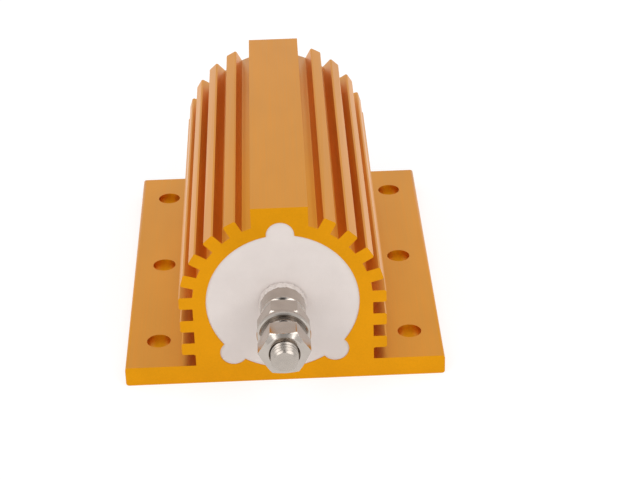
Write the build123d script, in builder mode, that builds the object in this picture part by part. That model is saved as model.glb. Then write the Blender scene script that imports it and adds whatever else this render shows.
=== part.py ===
from build123d import *
from math import cos, radians, sin, tan
import os

os.makedirs("parts", exist_ok=True)

# housing: one aluminium extrusion along Y, sawn square at both ends
housing_length = 92.0
bore_radius = 17.1
bore_floor = 3.34  # metal left under the bore
ring_wall = 3.0  # from the bore to the floor of the slots
fin_depth = 3.0
fin_thickness = 3.0
fin_edge = 0.3  # eased edges of the fin tips
side_fin_count = 3
radial_fin_count = 4
side_fin_angle = 1.6  # middle of the highest side fin, seen from the bore's centre
last_fin_angle = 61.4  # middle of the radial fin next to the boss
boss_width = 12.5
boss_rise = 3.8  # above the floor of the slots
flange_reach = 13.15  # beyond the fin tips
flange_thickness = 4.7
flange_rounding = 0.7
hole_diameter = 5.5
hole_edge_gap = 7.25  # hole centre to the flange's long edge
hole_end_gap = 11.0  # hole centre to the sawn end
hole_rows = 3

# three filling channels cut into the bore's wall
channel_radius = 3.1
channel_dip = 48.0  # the two lower channels, below the bore's centre line

# cement cast round the element, just short of the sawn ends
fill_recess = 0.2

# wire element: ceramic core, one layer of winding, steel caps pressed on the core's ends
end_cover = 14.0  # from the sawn end to the core's end
core_radius = 8.0
layer_thickness = 1.0  # the winding and the caps' walls lie flush
cap_lip = 6.0
cap_plate = 1.5

# terminal at each end: stud, round nut set in the cement, hexagon nut, two washers, clamp nut
stud_radius = 3.0
stud_chamfer = 0.7
stud_projection = 3.0  # beyond the clamp nut
seat_nut_radius = 5.0
seat_nut_reach = 6.6  # beyond the sawn end
seat_nut_chamfer = 0.8
nut_across_flats = 10.0
nut_height = 5.7
nut_chamfer_angle = 30.0
nut_face_share = 0.92  # diameter of the nut's flat end, as a share of its width
lock_nut_turn = -3.0  # from flats up and down
clamp_nut_turn = 8.0
washer_radius = 5.9
washer_thickness = 1.6
washer_clearance = 0.2
spring_radius = 4.95
spring_thickness = 1.6
spring_gap = 0.8
spring_gap_slant = 20.0
spring_gap_turn = 255.0

# heights and radii that follow from the sizes above
bore_height = bore_floor + bore_radius
ring_radius = bore_radius + ring_wall
tip_radius = ring_radius + fin_depth
flange_width = 2 * (tip_radius + flange_reach)
highest_side_fin = bore_height + tip_radius * sin(radians(side_fin_angle))
side_fin_pitch = (highest_side_fin + fin_thickness / 2 - flange_thickness) / side_fin_count
radial_fin_pitch = (last_fin_angle - side_fin_angle) / radial_fin_count
first_fin_angle = side_fin_angle + radial_fin_pitch
hole_spacing_x = flange_width - 2 * hole_edge_gap
hole_spacing_y = (housing_length - 2 * hole_end_gap) / (hole_rows - 1)
fill_length = housing_length - 2 * fill_recess
core_length = housing_length - 2 * end_cover
element_radius = core_radius + layer_thickness
element_length = core_length + 2 * cap_plate
winding_length = core_length - 2 * cap_lip
nut_corner_radius = nut_across_flats / 2 / cos(radians(30))
nut_face_radius = nut_across_flats / 2 * nut_face_share
nut_slope = (nut_corner_radius - nut_face_radius) * tan(radians(nut_chamfer_angle))
washer_bore = stud_radius + washer_clearance

# stations along a terminal, counted outward from the sawn end
stud_root_at = (element_length - housing_length) / 2
flat_washer_at = seat_nut_reach + nut_height
spring_washer_at = flat_washer_at + washer_thickness
clamp_nut_at = spring_washer_at + spring_thickness
stud_tip_at = clamp_nut_at + nut_height + stud_projection


def bore_outline(mode):
    with Locations((0, bore_height)):
        Circle(bore_radius, mode=mode)
    for angle in (90, 180 + channel_dip, -channel_dip):
        across = bore_radius * cos(radians(angle))
        up = bore_height + bore_radius * sin(radians(angle))
        with Locations((across, up)):
            Circle(channel_radius, mode=mode)


def bore_rod(radius, length, mode=Mode.ADD):
    with BuildSketch(Plane.XZ) as disc:
        with Locations((0, bore_height)):
            Circle(radius)
    extrude(disc.sketch, amount=length / 2, both=True, mode=mode)


def terminal_plane(side, station):
    # local Z points out of the housing along the stud, local Y up
    return Plane(
        origin=(0, side * (housing_length / 2 + station), bore_height),
        x_dir=(-side, 0, 0),
        z_dir=(0, side, 0),
    )


with BuildPart() as housing:
    with BuildSketch(Plane.XZ) as section:
        with Locations((0, bore_height)):
            Circle(ring_radius)
            Rectangle(2 * ring_radius, bore_height, align=(Align.CENTER, Align.MAX))
        for row in range(side_fin_count):
            with Locations((0, flange_thickness + (row + 1) * side_fin_pitch)):
                Rectangle(2 * tip_radius, fin_thickness, align=(Align.CENTER, Align.MAX))
        for step in range(radial_fin_count):
            angle = first_fin_angle + step * radial_fin_pitch
            for turn in (angle, 180 - angle):
                with Locations(Location((0, bore_height, 0), (0, 0, turn))):
                    Rectangle(tip_radius, fin_thickness, align=(Align.MIN, Align.CENTER))
        centre = Vector(0, bore_height, 0)
        tips = section.vertices().filter_by(lambda corner: (Vector(corner) - centre).length >= tip_radius)
        chamfer(tips.filter_by(lambda corner: corner.Y > 0), fin_edge)
        with Locations((0, bore_height)):
            Rectangle(boss_width, ring_radius + boss_rise, align=(Align.CENTER, Align.MIN))
        Rectangle(flange_width, flange_thickness, align=(Align.CENTER, Align.MIN))
        columns = section.vertices().group_by(Axis.X)
        fillet(columns[0] + columns[-1], flange_rounding)
        bore_outline(Mode.SUBTRACT)
    extrude(amount=housing_length / 2, both=True)
    with Locations(Plane.XY.offset(flange_thickness)):
        with GridLocations(hole_spacing_x, hole_spacing_y, 2, hole_rows):
            Hole(hole_diameter / 2, depth=flange_thickness)
housing.part.label = "housing"
export_step(housing.part, "parts/housing.step")

with BuildPart() as cement_fill:
    with BuildSketch(Plane.XZ):
        bore_outline(Mode.ADD)
    extrude(amount=fill_length / 2, both=True)
    bore_rod(element_radius, element_length, Mode.SUBTRACT)
    bore_rod(stud_radius, fill_length, Mode.SUBTRACT)
cement_fill.part.label = "cement_fill"
export_step(cement_fill.part, "parts/cement_fill.step")

with BuildPart() as ceramic_core:
    bore_rod(core_radius, core_length)
ceramic_core.part.label = "ceramic_core"
export_step(ceramic_core.part, "parts/ceramic_core.step")

# the turns lie side by side, so the layer is one sleeve from cap to cap
with BuildPart() as resistance_winding:
    bore_rod(element_radius, winding_length)
    bore_rod(core_radius, winding_length, Mode.SUBTRACT)
resistance_winding.part.label = "resistance_winding"
export_step(resistance_winding.part, "parts/resistance_winding.step")

# a hexagon topped and tailed by the cone that a chamfering tool leaves, bored for the stud
with BuildPart() as nut_blank:
    with BuildSketch():
        RegularPolygon(nut_corner_radius, 6)
    extrude(amount=nut_height)
    with BuildSketch(Plane.XZ):
        with BuildLine():
            Polyline(
                (0, 0),
                (nut_face_radius, 0),
                (nut_corner_radius, nut_slope),
                (nut_corner_radius, nut_height - nut_slope),
                (nut_face_radius, nut_height),
                (0, nut_height),
                close=True,
            )
        make_face()
    revolve(axis=Axis.Z, mode=Mode.INTERSECT)
    with Locations((0, 0, nut_height)):
        Hole(stud_radius, depth=nut_height)

# a flat ring parted by a slanting cut, as it lies when clamped
with BuildPart() as spring_blank:
    with BuildSketch():
        Circle(spring_radius)
        Circle(washer_bore, mode=Mode.SUBTRACT)
    extrude(amount=spring_thickness)
    with Locations(Location((spring_radius, 0, spring_thickness / 2), (spring_gap_slant, 0, 0))):
        Box(spring_radius, spring_gap, 2 * spring_thickness, mode=Mode.SUBTRACT)

for end, side in (("front", -1), ("rear", 1)):
    outward = Axis((0, 0, bore_height), (0, side, 0))

    with BuildPart() as end_cap:
        with BuildSketch(terminal_plane(side, stud_root_at)):
            Circle(element_radius)
        extrude(amount=-(cap_plate + cap_lip))
        bore_rod(core_radius, core_length, Mode.SUBTRACT)
    end_cap.part.label = f"{end}_end_cap"
    export_step(end_cap.part, f"parts/{end}_end_cap.step")

    with BuildPart() as stud:
        with BuildSketch(terminal_plane(side, stud_root_at)):
            Circle(stud_radius)
        extrude(amount=stud_tip_at - stud_root_at)
        chamfer(stud.edges().sort_by(outward)[-1], stud_chamfer)
    stud.part.label = f"{end}_stud"
    export_step(stud.part, f"parts/{end}_stud.step")

    with BuildPart() as seat_nut:
        with BuildSketch(terminal_plane(side, -fill_recess)):
            Circle(seat_nut_radius)
        extrude(amount=fill_recess + seat_nut_reach)
        chamfer(seat_nut.edges().sort_by(outward)[-1], seat_nut_chamfer)
        with BuildSketch(terminal_plane(side, -fill_recess)):
            Circle(stud_radius)
        extrude(amount=fill_recess + seat_nut_reach, mode=Mode.SUBTRACT)
    seat_nut.part.label = f"{end}_seat_nut"
    export_step(seat_nut.part, f"parts/{end}_seat_nut.step")

    for name, station, turn in (
        ("lock_nut", seat_nut_reach, lock_nut_turn),
        ("clamp_nut", clamp_nut_at, clamp_nut_turn),
    ):
        with BuildPart() as nut:
            with Locations(terminal_plane(side, station)):
                add(nut_blank.part, rotation=(0, 0, turn))
        nut.part.label = f"{end}_{name}"
        export_step(nut.part, f"parts/{end}_{name}.step")

    with BuildPart() as flat_washer:
        with BuildSketch(terminal_plane(side, flat_washer_at)):
            Circle(washer_radius)
            Circle(washer_bore, mode=Mode.SUBTRACT)
        extrude(amount=washer_thickness)
    flat_washer.part.label = f"{end}_flat_washer"
    export_step(flat_washer.part, f"parts/{end}_flat_washer.step")

    with BuildPart() as spring_washer:
        with Locations(terminal_plane(side, spring_washer_at)):
            add(spring_blank.part, rotation=(0, 0, spring_gap_turn))
    spring_washer.part.label = f"{end}_spring_washer"
    export_step(spring_washer.part, f"parts/{end}_spring_washer.step")
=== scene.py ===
import math

import bmesh
import bpy
from mathutils import Matrix, Vector, noise


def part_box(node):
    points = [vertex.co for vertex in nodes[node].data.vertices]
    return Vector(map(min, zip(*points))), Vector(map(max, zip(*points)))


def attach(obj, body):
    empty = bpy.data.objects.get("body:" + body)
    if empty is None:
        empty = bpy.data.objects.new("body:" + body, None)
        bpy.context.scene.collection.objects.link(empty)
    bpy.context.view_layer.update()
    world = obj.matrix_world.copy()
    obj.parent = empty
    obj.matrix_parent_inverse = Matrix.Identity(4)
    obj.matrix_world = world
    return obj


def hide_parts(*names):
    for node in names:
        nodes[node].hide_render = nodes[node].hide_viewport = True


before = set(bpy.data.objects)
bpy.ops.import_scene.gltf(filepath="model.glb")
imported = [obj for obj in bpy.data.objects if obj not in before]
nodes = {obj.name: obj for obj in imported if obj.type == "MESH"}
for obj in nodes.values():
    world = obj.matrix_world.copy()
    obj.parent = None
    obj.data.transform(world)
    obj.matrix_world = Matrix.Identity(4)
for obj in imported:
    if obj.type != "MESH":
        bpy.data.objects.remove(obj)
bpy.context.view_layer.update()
scene = bpy.context.scene
mm = 0.001
ends = {"front": -1, "rear": 1}  # which way each end looks along Y
print("frame loaded:", len(nodes), "nodes")


# small helpers for node trees

def addNode(tree, kind, values=None, **settings):
    node = tree.nodes.new(kind)
    for key, value in settings.items():
        setattr(node, key, value)
    for key, value in (values or {}).items():
        node.inputs[key].default_value = value
    return node


def link(tree, source, target):
    # the source is another node's output or a plain value
    if isinstance(source, bpy.types.NodeSocket):
        tree.links.new(source, target)
    else:
        target.default_value = source


def freshMaterial(name):
    material = bpy.data.materials.new(name)
    material.use_nodes = True
    tree = material.node_tree
    shader = tree.nodes["Principled BSDF"]
    return material, tree, shader


def grain(tree, coords, scale, turn=(0, 0, 0), detail=3.0, rough=0.55):
    # noise with its own size along each axis, in cells per metre
    place = addNode(tree, "ShaderNodeMapping", {"Scale": scale, "Rotation": turn})
    link(tree, coords, place.inputs["Vector"])
    cells = addNode(tree, "ShaderNodeTexNoise", {"Scale": 1.0, "Detail": detail, "Roughness": rough})
    link(tree, place.outputs["Vector"], cells.inputs["Vector"])
    return cells.outputs["Fac"]


def spread(tree, value, low, high, fromLow=0.25, fromHigh=0.75):
    ramp = addNode(tree, "ShaderNodeMapRange", {
        "From Min": fromLow, "From Max": fromHigh, "To Min": low, "To Max": high})
    link(tree, value, ramp.inputs["Value"])
    return ramp.outputs["Result"]


def maths(tree, operation, first, second=0.0):
    node = addNode(tree, "ShaderNodeMath", operation=operation)
    link(tree, first, node.inputs[0])
    link(tree, second, node.inputs[1])
    return node.outputs[0]


def blendValue(tree, factor, first, second):
    node = addNode(tree, "ShaderNodeMix", data_type="FLOAT")
    for socket, value in zip((node.inputs[0], node.inputs[2], node.inputs[3]), (factor, first, second)):
        link(tree, value, socket)
    return node.outputs[0]


def blendColour(tree, factor, first, second, mode="MIX"):
    node = addNode(tree, "ShaderNodeMix", data_type="RGBA", blend_type=mode)
    for socket, value in zip((node.inputs[0], node.inputs[6], node.inputs[7]), (factor, first, second)):
        link(tree, value, socket)
    return node.outputs[2]


def addBump(tree, height, distance, strength, after=None):
    node = addNode(tree, "ShaderNodeBump", {"Strength": strength, "Distance": distance})
    link(tree, height, node.inputs["Height"])
    if after is not None:
        link(tree, after, node.inputs["Normal"])
    return node.outputs["Normal"]


# gold anodised aluminium: drawn lines along the extrusion, saw marks on the two ends

gold = {
    "drawn": (0.76, 0.302, 0.003, 1),
    "sawn": (0.74, 0.315, 0.005, 1),
    "sawnFacing": (0.80, 0.95),  # how squarely a sawn face looks along Y
    "drawnRoughness": 0.42,
    "roughnessSwing": 0.06,
    "sawnRoughness": 0.50,
    "lineWidth": 0.35 * mm,
    "lineLength": 30 * mm,
    "lineTint": (0.965, 1.035),
    "cloudCells": (90, 30, 90),
    "cloudTint": (0.95, 1.05),
    "sawPitch": 0.45 * mm,
    "sawCells": 60,  # along a saw mark
    "sawTilt": math.radians(8),
    "markDepth": 0.02 * mm,
    "markStrength": 0.35,
    "speckCells": 2600,
    "speckDepth": 0.012 * mm,
    "speckStrength": 0.3,
    "coat": 0.5,
    "sawnCoat": 0.04,
    "coatRoughness": 0.38,
}


def makeGold():
    material, tree, shader = freshMaterial("gold_anodised")
    coords = addNode(tree, "ShaderNodeTexCoord")
    place = coords.outputs["Object"]
    axes = addNode(tree, "ShaderNodeSeparateXYZ")
    link(tree, coords.outputs["Normal"], axes.inputs[0])
    facing = maths(tree, "ABSOLUTE", axes.outputs["Y"])
    sawn = spread(tree, facing, 0, 1, *gold["sawnFacing"])
    across = 1 / gold["lineWidth"]
    along = 1 / gold["lineLength"]
    lines = grain(tree, place, (across, along, across))
    clouds = grain(tree, place, gold["cloudCells"], detail=2)
    specks = grain(tree, place, (gold["speckCells"],) * 3, detail=1)
    sawCells = (gold["sawCells"], 1, 1 / gold["sawPitch"])
    sawMarks = grain(tree, place, sawCells, (0, gold["sawTilt"], 0), detail=2)
    shade = blendColour(tree, sawn, gold["drawn"], gold["sawn"])
    shade = blendColour(tree, 1.0, shade, spread(tree, clouds, *gold["cloudTint"]), "MULTIPLY")
    shade = blendColour(tree, 1.0, shade, spread(tree, lines, *gold["lineTint"]), "MULTIPLY")
    link(tree, shade, shader.inputs["Base Color"])
    smoothest = gold["drawnRoughness"] - gold["roughnessSwing"]
    roughest = gold["drawnRoughness"] + gold["roughnessSwing"]
    drawnRough = spread(tree, lines, smoothest, roughest)
    roughness = blendValue(tree, sawn, drawnRough, gold["sawnRoughness"])
    link(tree, roughness, shader.inputs["Roughness"])
    marks = blendValue(tree, sawn, lines, sawMarks)
    normal = addBump(tree, marks, gold["markDepth"], gold["markStrength"])
    normal = addBump(tree, specks, gold["speckDepth"], gold["speckStrength"], normal)
    link(tree, normal, shader.inputs["Normal"])
    coat = blendValue(tree, sawn, gold["coat"], gold["sawnCoat"])
    link(tree, coat, shader.inputs["Coat Weight"])
    shader.inputs["Metallic"].default_value = 1.0
    shader.inputs["Coat Roughness"].default_value = gold["coatRoughness"]
    return material


# bright nickel on steel, a little uneven, with fine handling marks

nickel = {
    "colour": (0.50, 0.45, 0.405, 1),
    "roughness": 0.12,
    "studColour": (0.46, 0.41, 0.365, 1),
    "studRoughness": 0.27,
    # painted shade: the spring washer's colour is darkened well below the nuts' nickel to stand in for the
    # shadowed gap it sits in
    "springShadeColour": (0.24, 0.21, 0.185, 1),
    "springRoughness": 0.22,
    "roughnessBelow": 0.04,
    "roughnessAbove": 0.06,
    "cloudCells": 350,
    "cloudTint": (0.93, 1.05),
    "markSize": 0.36 * mm,
    "markDepth": 0.01 * mm,
    "markStrength": 0.5,
}


def makeNickel(name, colour, roughness):
    material, tree, shader = freshMaterial(name)
    coords = addNode(tree, "ShaderNodeTexCoord")
    place = coords.outputs["Object"]
    marks = grain(tree, place, (1 / nickel["markSize"],) * 3, detail=4)
    clouds = grain(tree, place, (nickel["cloudCells"],) * 3, detail=2)
    shade = blendColour(tree, 1.0, colour, spread(tree, clouds, *nickel["cloudTint"]), "MULTIPLY")
    link(tree, shade, shader.inputs["Base Color"])
    smoothest = roughness - nickel["roughnessBelow"]
    roughest = roughness + nickel["roughnessAbove"]
    link(tree, spread(tree, marks, smoothest, roughest), shader.inputs["Roughness"])
    normal = addBump(tree, marks, nickel["markDepth"], nickel["markStrength"])
    link(tree, normal, shader.inputs["Normal"])
    shader.inputs["Metallic"].default_value = 1.0
    return material


# cast cement: matt, faintly mottled, with a fine sandy skin and a few pits

castCement = {
    "light": (0.745, 0.675, 0.64, 1),
    "dark": (0.705, 0.635, 0.60, 1),
    "patchCells": 160,
    "patchRange": (0.3, 0.7),
    "sandSize": 0.35 * mm,
    "sandDepth": 0.05 * mm,
    "sandStrength": 0.5,
    "pitCells": 520,
    "pitRange": (0.05, 0.16),
    "pitDepth": 0.04 * mm,
    "pitStrength": 0.4,
    "roughness": 0.88,
}


def makeCement(name, light, dark, patchCells):
    material, tree, shader = freshMaterial(name)
    coords = addNode(tree, "ShaderNodeTexCoord")
    place = coords.outputs["Object"]
    patches = grain(tree, place, (patchCells,) * 3, detail=4, rough=0.6)
    sand = grain(tree, place, (1 / castCement["sandSize"],) * 3)
    pits = addNode(tree, "ShaderNodeTexVoronoi", {"Scale": castCement["pitCells"], "Randomness": 1.0})
    link(tree, place, pits.inputs["Vector"])
    dents = spread(tree, pits.outputs["Distance"], 0, 1, *castCement["pitRange"])
    mottle = spread(tree, patches, 0, 1, *castCement["patchRange"])
    link(tree, blendColour(tree, mottle, dark, light), shader.inputs["Base Color"])
    normal = addBump(tree, sand, castCement["sandDepth"], castCement["sandStrength"])
    normal = addBump(tree, dents, castCement["pitDepth"], castCement["pitStrength"], normal)
    link(tree, normal, shader.inputs["Normal"])
    shader.inputs["Roughness"].default_value = castCement["roughness"]
    return material


# what the cement hides: ceramic core, wire layer and pressed caps

element = {
    "coreLight": (0.82, 0.80, 0.74, 1),
    "coreDark": (0.76, 0.74, 0.68, 1),
    "wireColour": (0.42, 0.40, 0.38, 1),
    "wirePitch": 1.0 * mm,
    "wireRoughness": 0.35,
    "capColour": (0.55, 0.55, 0.54, 1),
    "capPitch": 0.4 * mm,
    "capRoughness": 0.40,
    "lineCells": 40,  # across the bore
    "lineTint": (0.85, 1.1),
    "lineDepth": 0.1 * mm,
    "lineStrength": 0.5,
}


def makeHidden(name, colour, pitch, roughness):
    material, tree, shader = freshMaterial(name)
    coords = addNode(tree, "ShaderNodeTexCoord")
    cells = (element["lineCells"], 1 / pitch, element["lineCells"])
    lines = grain(tree, coords.outputs["Object"], cells, detail=2)
    shade = blendColour(tree, 1.0, colour, spread(tree, lines, *element["lineTint"]), "MULTIPLY")
    link(tree, shade, shader.inputs["Base Color"])
    normal = addBump(tree, lines, element["lineDepth"], element["lineStrength"])
    link(tree, normal, shader.inputs["Normal"])
    shader.inputs["Metallic"].default_value = 1.0
    shader.inputs["Roughness"].default_value = roughness
    return material


goldMaterial = makeGold()
nickelMaterial = makeNickel("nickel_plate", nickel["colour"], nickel["roughness"])
# painted shade: a darkened copy of the nickel for the spring washers, standing in for the shadow in the gap
# between the washers
springShadeMaterial = makeNickel("shade_darkened_nickel", nickel["springShadeColour"], nickel["springRoughness"])
studMaterial = makeNickel("worn_nickel", nickel["studColour"], nickel["studRoughness"])
cementMaterial = makeCement("cast_cement", castCement["light"], castCement["dark"],
                            castCement["patchCells"])
coreMaterial = makeCement("core_ceramic", element["coreLight"], element["coreDark"],
                          castCement["patchCells"])
wireMaterial = makeHidden("resistance_wire", element["wireColour"], element["wirePitch"],
                          element["wireRoughness"])
capMaterial = makeHidden("cap_steel", element["capColour"], element["capPitch"], element["capRoughness"])


def dress(node, material):
    node.data.materials.clear()
    node.data.materials.append(material)


dress(nodes["housing"], goldMaterial)
dress(nodes["cement_fill"], cementMaterial)
dress(nodes["ceramic_core"], coreMaterial)
dress(nodes["resistance_winding"], wireMaterial)
for end in ends:
    dress(nodes[end + "_end_cap"], capMaterial)
    for part in ("stud", "seat_nut", "lock_nut", "flat_washer", "spring_washer", "clamp_nut"):
        dress(nodes[end + "_" + part], nickelMaterial)
print("materials made")


# small rounding on the housing's edges

housingEdges = {
    "weld": 0.002 * mm,
    "round": 0.12 * mm,
    "segments": 2,
    "sharp": math.radians(30),
}

weld = nodes["housing"].modifiers.new("weld", "WELD")
weld.merge_threshold = housingEdges["weld"]
soften = nodes["housing"].modifiers.new("soften", "BEVEL")
soften.width = housingEdges["round"]
soften.segments = housingEdges["segments"]
soften.limit_method = "ANGLE"
soften.angle_limit = housingEdges["sharp"]
soften.miter_outer = "MITER_ARC"
print("housing edges softened")


# round nuts and washers: copies of the solids with eased edges and countersunk bores

hardware = {
    "boreRadius": 3.0 * mm,
    "boreSlack": 0.05 * mm,
    "countersink": 0.4 * mm,
    "nutEdge": 0.10 * mm,
    "nutSegments": 2,
    "washerEdge": 0.45 * mm,
    "washerSegments": 2,
    "springChamfer": 0.3 * mm,
    "weld": 0.002 * mm,
    "flat": math.radians(1),
    "bevelled": math.radians(20),
    "square": math.radians(40),
    "smooth": math.radians(28),
    "ringSmooth": math.radians(18),
    "evenWeight": 100,
}
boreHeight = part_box("front_stud")[0].z + hardware["boreRadius"]


def keep(bm, name, material, slot, *replaced):
    mesh = bpy.data.meshes.new(name)
    bm.to_mesh(mesh)
    bm.free()
    mesh.materials.append(material)
    piece = bpy.data.objects.new(name, mesh)
    scene.collection.objects.link(piece)
    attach(piece, "root")
    if replaced:
        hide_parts(*replaced)
    return piece


def mergedCopy(node):
    bm = bmesh.new()
    bm.from_mesh(node.data)
    bmesh.ops.remove_doubles(bm, verts=bm.verts, dist=hardware["weld"])
    bmesh.ops.dissolve_limit(bm, angle_limit=hardware["flat"], verts=bm.verts, edges=bm.edges)
    return bm


def sharpEdges(bm, least):
    found = []
    for edge in bm.edges:
        if len(edge.link_faces) == 2 and edge.calc_face_angle(0) > least:
            found.append(edge)
    return found


def fromAxis(point):
    return math.hypot(point.x, point.z - boreHeight)


def ease(bm, edges, offset, segments):
    bmesh.ops.bevel(bm, geom=edges, offset=offset, segments=segments, profile=0.5,
                    affect="EDGES", clamp_overlap=True, material=-1)


def shadeSmooth(bm, least):
    for face in bm.faces:
        face.smooth = True
    for edge in bm.edges:
        edge.smooth = len(edge.link_faces) == 2 and edge.calc_face_angle(0) < least


def evenNormals(piece):
    # keeps broad faces flat to the eye beside their eased edges
    even = piece.modifiers.new("even", "WEIGHTED_NORMAL")
    even.weight = hardware["evenWeight"]
    even.keep_sharp = True


def makeRoundNut(nodeName):
    bm = mergedCopy(nodes[nodeName])
    rim = []
    for edge in sharpEdges(bm, hardware["square"]):
        if all(fromAxis(vert.co) < hardware["boreRadius"] + hardware["boreSlack"] for vert in edge.verts):
            rim.append(edge)
    ease(bm, rim, hardware["countersink"], 1)
    ease(bm, sharpEdges(bm, hardware["bevelled"]), hardware["nutEdge"], hardware["nutSegments"])
    shadeSmooth(bm, hardware["smooth"])
    evenNormals(keep(bm, nodeName + "_eased", nickelMaterial, "nickel_plated_steel", nodeName))


def makeRing(nodeName, offset, segments, material):
    bm = mergedCopy(nodes[nodeName])
    ease(bm, sharpEdges(bm, hardware["square"]), offset, segments)
    shadeSmooth(bm, hardware["ringSmooth"])
    evenNormals(keep(bm, nodeName + "_eased", material, "nickel_plated_steel", nodeName))


for end in ends:
    makeRoundNut(end + "_seat_nut")
    makeRing(end + "_flat_washer", hardware["washerEdge"], hardware["washerSegments"], nickelMaterial)
    # the spring washer takes the darkened nickel, which is painted shade
    makeRing(end + "_spring_washer", hardware["springChamfer"], 1, springShadeMaterial)
print("round nuts and washers eased")


# hexagon nuts: a turned blank with chamfered ends, cut by six flats whose edges are a little worn

hexNut = {
    "acrossFlats": 10.0 * mm,
    "faceRadius": 4.3 * mm,
    "blankRadius": 6.1 * mm,
    "chamfer": math.radians(30),
    "cornerWear": 0.14 * mm,
    "edgeWear": 0.08 * mm,
    "steps": 360,
    "rows": 9,
    "seam": 0.001 * mm,
    "turns": {"lock_nut": -3.0, "clamp_nut": 1.0},  # degrees from flats up and down
}


def profileLine(bm, points, closed=False):
    # each point is a distance from the axis and a place along Y
    line = [bm.verts.new((radius, along, boreHeight)) for radius, along in points]
    after = line[1:] + line[:1] if closed else line[1:]
    return [bm.edges.new(pair) for pair in zip(line, after)]


def spinRound(bm, steps, seam):
    bmesh.ops.spin(bm, geom=bm.verts[:] + bm.edges[:], cent=(0, 0, boreHeight), axis=(0, 1, 0),
                   angle=math.tau, steps=steps, use_merge=True)
    bmesh.ops.remove_doubles(bm, verts=bm.verts, dist=seam)


def softLeast(first, second, reach):
    # the lesser of two lengths, rounded over where they come within reach of each other
    near = max(0, reach - abs(first - second)) / reach
    return min(first, second) - near * near * reach / 4


def pullIn(vert, limit, reach):
    radius = fromAxis(vert.co)
    share = softLeast(radius, limit, reach) / radius
    vert.co.x *= share
    vert.co.z = boreHeight + (vert.co.z - boreHeight) * share


def hexReach(angle):
    # from the axis to the hexagon's side, with the angle counted from the middle of a flat
    off = abs((angle + math.pi / 6) % (math.pi / 3) - math.pi / 6)
    apothem = hexNut["acrossFlats"] / 2
    return softLeast(apothem / math.cos(off), apothem / math.cos(math.pi / 3 - off), hexNut["cornerWear"])


def makeHexNut(end, part):
    low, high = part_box(end + "_" + part)
    bore = hardware["boreRadius"]
    sink = hardware["countersink"]
    face = hexNut["faceRadius"]
    blank = hexNut["blankRadius"]
    slope = (blank - face) * math.tan(hexNut["chamfer"])
    bm = bmesh.new()
    edges = profileLine(bm, (
        (bore, low.y + sink), (bore + sink, low.y), (face, low.y), (blank, low.y + slope),
        (blank, high.y - slope), (face, high.y), (bore + sink, high.y), (bore, high.y - sink),
    ), closed=True)
    bmesh.ops.subdivide_edges(bm, edges=edges[2:5], cuts=hexNut["rows"])  # both chamfers and the side
    spinRound(bm, hexNut["steps"], hexNut["seam"])
    turn = -ends[end] * math.radians(hexNut["turns"][part])
    for vert in bm.verts:
        angle = math.atan2(vert.co.z - boreHeight, vert.co.x) - math.pi / 2 - turn
        pullIn(vert, hexReach(angle), hexNut["edgeWear"])
    bmesh.ops.recalc_face_normals(bm, faces=bm.faces)
    shadeSmooth(bm, hardware["smooth"])
    keep(bm, end + "_" + part + "_eased", nickelMaterial, "nickel_plated_steel", end + "_" + part)


for end in ends:
    for part in hexNut["turns"]:
        makeHexNut(end, part)
print("hexagon nuts made")


# studs: a rolled metric thread run out into a chamfered end

thread = {
    "pitch": 1.0 * mm,
    "depth": 0.45 * mm,
    "crest": 0.16,  # shares of the pitch
    "root": 0.22,
    "steps": 60,
    "cuts": 3,
    "spareTurns": 2,
    "tipChamfer": 0.65 * mm,
    "tipEase": 0.28 * mm,
    "seam": 0.004 * mm,
    "cutSlack": 0.0005 * mm,
    "rimSlack": 0.01 * mm,
}
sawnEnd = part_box("housing")[1].y


def rimAt(bm, place):
    rim = []
    for edge in bm.edges:
        level = all(abs(vert.co.y - place) < thread["rimSlack"] for vert in edge.verts)
        if level and len(edge.link_faces) == 1:
            rim.append(edge)
    return rim


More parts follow.
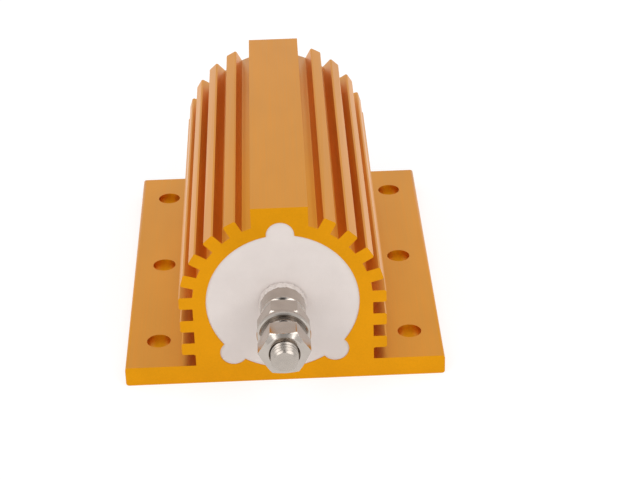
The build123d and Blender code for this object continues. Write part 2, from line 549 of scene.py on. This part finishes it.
def makeStud(end):
    low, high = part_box(end + "_stud")
    side = ends[end]
    tip, root = (low.y, high.y) if side < 0 else (high.y, low.y)
    start = side * sawnEnd
    outer = hardware["boreRadius"]
    inner = outer - thread["depth"]
    pitch = thread["pitch"]
    rise = (1 - thread["crest"] - thread["root"]) / 2
    crestStart = thread["root"] + rise
    tooth = ((0, inner), (thread["root"], inner), (crestStart, outer), (crestStart + thread["crest"], outer))
    points = []
    for turn in range(math.ceil(abs(tip - start) / pitch) + thread["spareTurns"]):
        at = turn * pitch - pitch  # the first turn lies inside the housing
        for share, radius in tooth:
            points.append((radius, start + side * (at + share * pitch)))
    bm = bmesh.new()
    edges = profileLine(bm, points)
    bmesh.ops.subdivide_edges(bm, edges=edges, cuts=thread["cuts"])
    bmesh.ops.spin(bm, geom=bm.verts[:] + bm.edges[:], cent=(0, 0, boreHeight), axis=(0, side, 0),
                   dvec=(0, side * pitch / thread["steps"], 0), angle=math.tau,
                   steps=thread["steps"], use_merge=False, use_duplicate=False)
    bmesh.ops.remove_doubles(bm, verts=bm.verts, dist=thread["seam"])
    for at, outward in ((tip, side), (start, -side)):
        bmesh.ops.bisect_plane(bm, geom=bm.verts[:] + bm.edges[:] + bm.faces[:], dist=thread["cutSlack"],
                               plane_co=(0, at, 0), plane_no=(0, outward, 0), clear_outer=True)
    for vert in bm.verts:
        pullIn(vert, outer - thread["tipChamfer"] + abs(tip - vert.co.y), thread["tipEase"])
    tipRim = rimAt(bm, tip)
    startRim = rimAt(bm, start)
    bmesh.ops.edgeloop_fill(bm, edges=tipRim)
    shank = bmesh.ops.extrude_edge_only(bm, edges=startRim)["geom"]  # plain inside the housing
    shankVerts = [item for item in shank if isinstance(item, bmesh.types.BMVert)]
    shankEdges = [item for item in shank if isinstance(item, bmesh.types.BMEdge)]
    bmesh.ops.translate(bm, verts=shankVerts, vec=(0, root - start, 0))
    bmesh.ops.edgeloop_fill(bm, edges=[edge for edge in shankEdges if len(edge.link_faces) == 1])
    bmesh.ops.recalc_face_normals(bm, faces=bm.faces)
    shadeSmooth(bm, hardware["smooth"])
    keep(bm, end + "_threaded_stud", studMaterial, "nickel_plated_steel", end + "_stud")


for end in ends:
    makeStud(end)
print("studs threaded")


# cement drawn up round the first nut

bead = {
    # radius and reach out of the sawn end, in millimetres
    "profile": ((4.9, 0.0), (5.05, 0.0), (5.2, 0.1), (5.27, 0.3), (5.25, 0.9), (5.2, 1.3),
                (5.13, 1.6), (5.03, 1.8), (4.9, 1.85)),
    "nutRadius": 5.0 * mm,
    "cuts": 3,
    "steps": 320,
    "seam": 0.001 * mm,
    "lumps": 800,
    "lumpHeight": 0.14 * mm,
    "crumbs": 2300,
    "crumbHeight": 0.20 * mm,
    "light": (0.72, 0.655, 0.62, 1),
    "dark": (0.56, 0.50, 0.46, 1),
    "patchCells": 1300,
}
beadMaterial = makeCement("cement_bead", bead["light"], bead["dark"], bead["patchCells"])


def makeBead(end):
    bm = bmesh.new()
    points = [(radius * mm, ends[end] * (sawnEnd + reach * mm)) for radius, reach in bead["profile"]]
    edges = profileLine(bm, points)
    bmesh.ops.subdivide_edges(bm, edges=edges[1:], cuts=bead["cuts"])
    spinRound(bm, bead["steps"], bead["seam"])
    bmesh.ops.recalc_face_normals(bm, faces=bm.faces)
    bm.normal_update()
    shifts = []
    for vert in bm.verts:
        lump = noise.noise(vert.co * bead["lumps"]) * bead["lumpHeight"]
        crumb = noise.noise(vert.co * bead["crumbs"]) * bead["crumbHeight"]
        inside = fromAxis(vert.co) < bead["nutRadius"]
        shifts.append(0 if inside else lump + crumb)
    for vert, shift in zip(bm.verts, shifts):
        vert.co += vert.normal * shift
    for face in bm.faces:
        face.smooth = True
    keep(bm, end + "_cement_bead", beadMaterial, "cement")


for end in ends:
    makeBead(end)
print("cement beads made")


# floor, light and camera

stageLook = {
    "floorSize": 3.0,
    "floorDrop": 0.05 * mm,
    "floorColour": (0.86, 0.86, 0.86, 1),
    "floorWhite": 1.02,
    "floorLight": 0.9,  # what falls on the floor, taken off its own glow
    "shadowShare": 0.32,
    "worldLevel": 0.85,
    "stripLevel": 0.08,  # the dark gap between the softboxes
    "stripFoot": 0.45,
    "stripAcross": (0.14, 0.30),
    "stripBefore": (-0.40, -0.15),
    "stripHigh": (0.55, 0.75),
}

softboxes = (
    {"name": "left_box", "place": (-0.75, -0.85, 0.85), "size": 0.95, "power": 5.0},
    {"name": "right_box", "place": (0.75, -0.85, 0.85), "size": 0.95, "power": 5.0},
)
aimPoint = Vector((0, 0, 0.02))


def makeFloor():
    bm = bmesh.new()
    bmesh.ops.create_grid(bm, x_segments=1, y_segments=1, size=stageLook["floorSize"])
    bmesh.ops.translate(bm, verts=bm.verts, vec=(0, 0, -stageLook["floorDrop"]))
    mesh = bpy.data.meshes.new("floor")
    bm.to_mesh(mesh)
    bm.free()
    floor = bpy.data.objects.new("floor", mesh)
    scene.collection.objects.link(floor)
    material, tree, shader = freshMaterial("white_floor")
    tree.nodes.remove(shader)
    out = tree.nodes["Material Output"]
    path = addNode(tree, "ShaderNodeLightPath")
    seen = maths(tree, "MAXIMUM", path.outputs["Is Camera Ray"], path.outputs["Is Glossy Ray"])
    seen = maths(tree, "MAXIMUM", seen, path.outputs["Is Transmission Ray"])
    plain = addNode(tree, "ShaderNodeBsdfDiffuse", {"Color": stageLook["floorColour"]})
    share = stageLook["shadowShare"]
    faint = addNode(tree, "ShaderNodeBsdfDiffuse", {"Color": (share, share, share, 1)})
    glowLevel = stageLook["floorWhite"] - share * stageLook["floorLight"]
    glow = addNode(tree, "ShaderNodeEmission", {"Strength": glowLevel})
    both = addNode(tree, "ShaderNodeAddShader")
    link(tree, faint.outputs[0], both.inputs[0])
    link(tree, glow.outputs[0], both.inputs[1])
    pick = addNode(tree, "ShaderNodeMixShader")
    link(tree, seen, pick.inputs[0])
    link(tree, plain.outputs[0], pick.inputs[1])
    link(tree, both.outputs[0], pick.inputs[2])
    link(tree, pick.outputs[0], out.inputs["Surface"])
    mesh.materials.append(material)


def makeWorld():
    world = bpy.data.worlds.new("light_tent")
    world.use_nodes = True
    scene.world = world
    tree = world.node_tree
    tree.nodes.clear()
    out = addNode(tree, "ShaderNodeOutputWorld")
    path = addNode(tree, "ShaderNodeLightPath")
    tent = addNode(tree, "ShaderNodeBackground", {"Strength": stageLook["worldLevel"]})
    white = addNode(tree, "ShaderNodeBackground", {"Color": (1, 1, 1, 1), "Strength": 1.0})
    pick = addNode(tree, "ShaderNodeMixShader")
    link(tree, path.outputs["Is Camera Ray"], pick.inputs[0])
    link(tree, tent.outputs[0], pick.inputs[1])
    link(tree, white.outputs[0], pick.inputs[2])
    direction = addNode(tree, "ShaderNodeTexCoord")
    axes = addNode(tree, "ShaderNodeSeparateXYZ")
    link(tree, direction.outputs["Generated"], axes.inputs[0])
    across = maths(tree, "ABSOLUTE", axes.outputs["X"])
    middle = spread(tree, across, 1, 0, *stageLook["stripAcross"])
    before = spread(tree, axes.outputs["Y"], 1, 0, *stageLook["stripBefore"])
    high = spread(tree, axes.outputs["Z"], stageLook["stripFoot"], 1, *stageLook["stripHigh"])
    strip = maths(tree, "MULTIPLY", maths(tree, "MULTIPLY", middle, before), high)
    level = stageLook["stripLevel"]
    sky = blendColour(tree, strip, (1, 1, 1, 1), (level, level, level, 1))
    link(tree, sky, tent.inputs["Color"])
    link(tree, pick.outputs[0], out.inputs["Surface"])


def makeSoftbox(box):
    lamp = bpy.data.lights.new(box["name"], "AREA")
    lamp.shape = "SQUARE"
    lamp.size = box["size"]
    lamp.energy = box["power"]
    holder = bpy.data.objects.new(box["name"], lamp)
    scene.collection.objects.link(holder)
    holder.location = box["place"]
    holder.rotation_euler = (aimPoint - holder.location).to_track_quat("-Z", "Y").to_euler()


makeFloor()
makeWorld()
for box in softboxes:
    makeSoftbox(box)

shot = {
    "place": (1.0 * mm, -394.8 * mm, 232.9 * mm),
    "down": math.radians(29.44),
    "yaw": math.radians(1.26),
    "roll": math.radians(-1.67),
    "lens": 103.4,
    "sensor": 36,
    "near": 0.01,
}


def makeCamera():
    down = shot["down"]
    yaw = shot["yaw"]
    roll = shot["roll"]
    ahead = Vector((math.sin(yaw) * math.cos(down), math.cos(yaw) * math.cos(down), -math.sin(down)))
    right = Vector((math.cos(yaw), -math.sin(yaw), 0))
    up = right.cross(ahead)
    tiltedRight = right * math.cos(roll) + up * math.sin(roll)
    tiltedUp = up * math.cos(roll) - right * math.sin(roll)
    lens = bpy.data.cameras.new("camera")
    lens.lens = shot["lens"]
    lens.sensor_width = shot["sensor"]
    lens.sensor_fit = "HORIZONTAL"
    lens.clip_start = shot["near"]
    camera = bpy.data.objects.new("camera", lens)
    scene.collection.objects.link(camera)
    turned = Matrix((tiltedRight, tiltedUp, -ahead)).transposed().to_4x4()
    camera.matrix_world = Matrix.Translation(shot["place"]) @ turned
    scene.camera = camera


makeCamera()
scene.view_settings.view_transform = "Standard"
print("stage set")
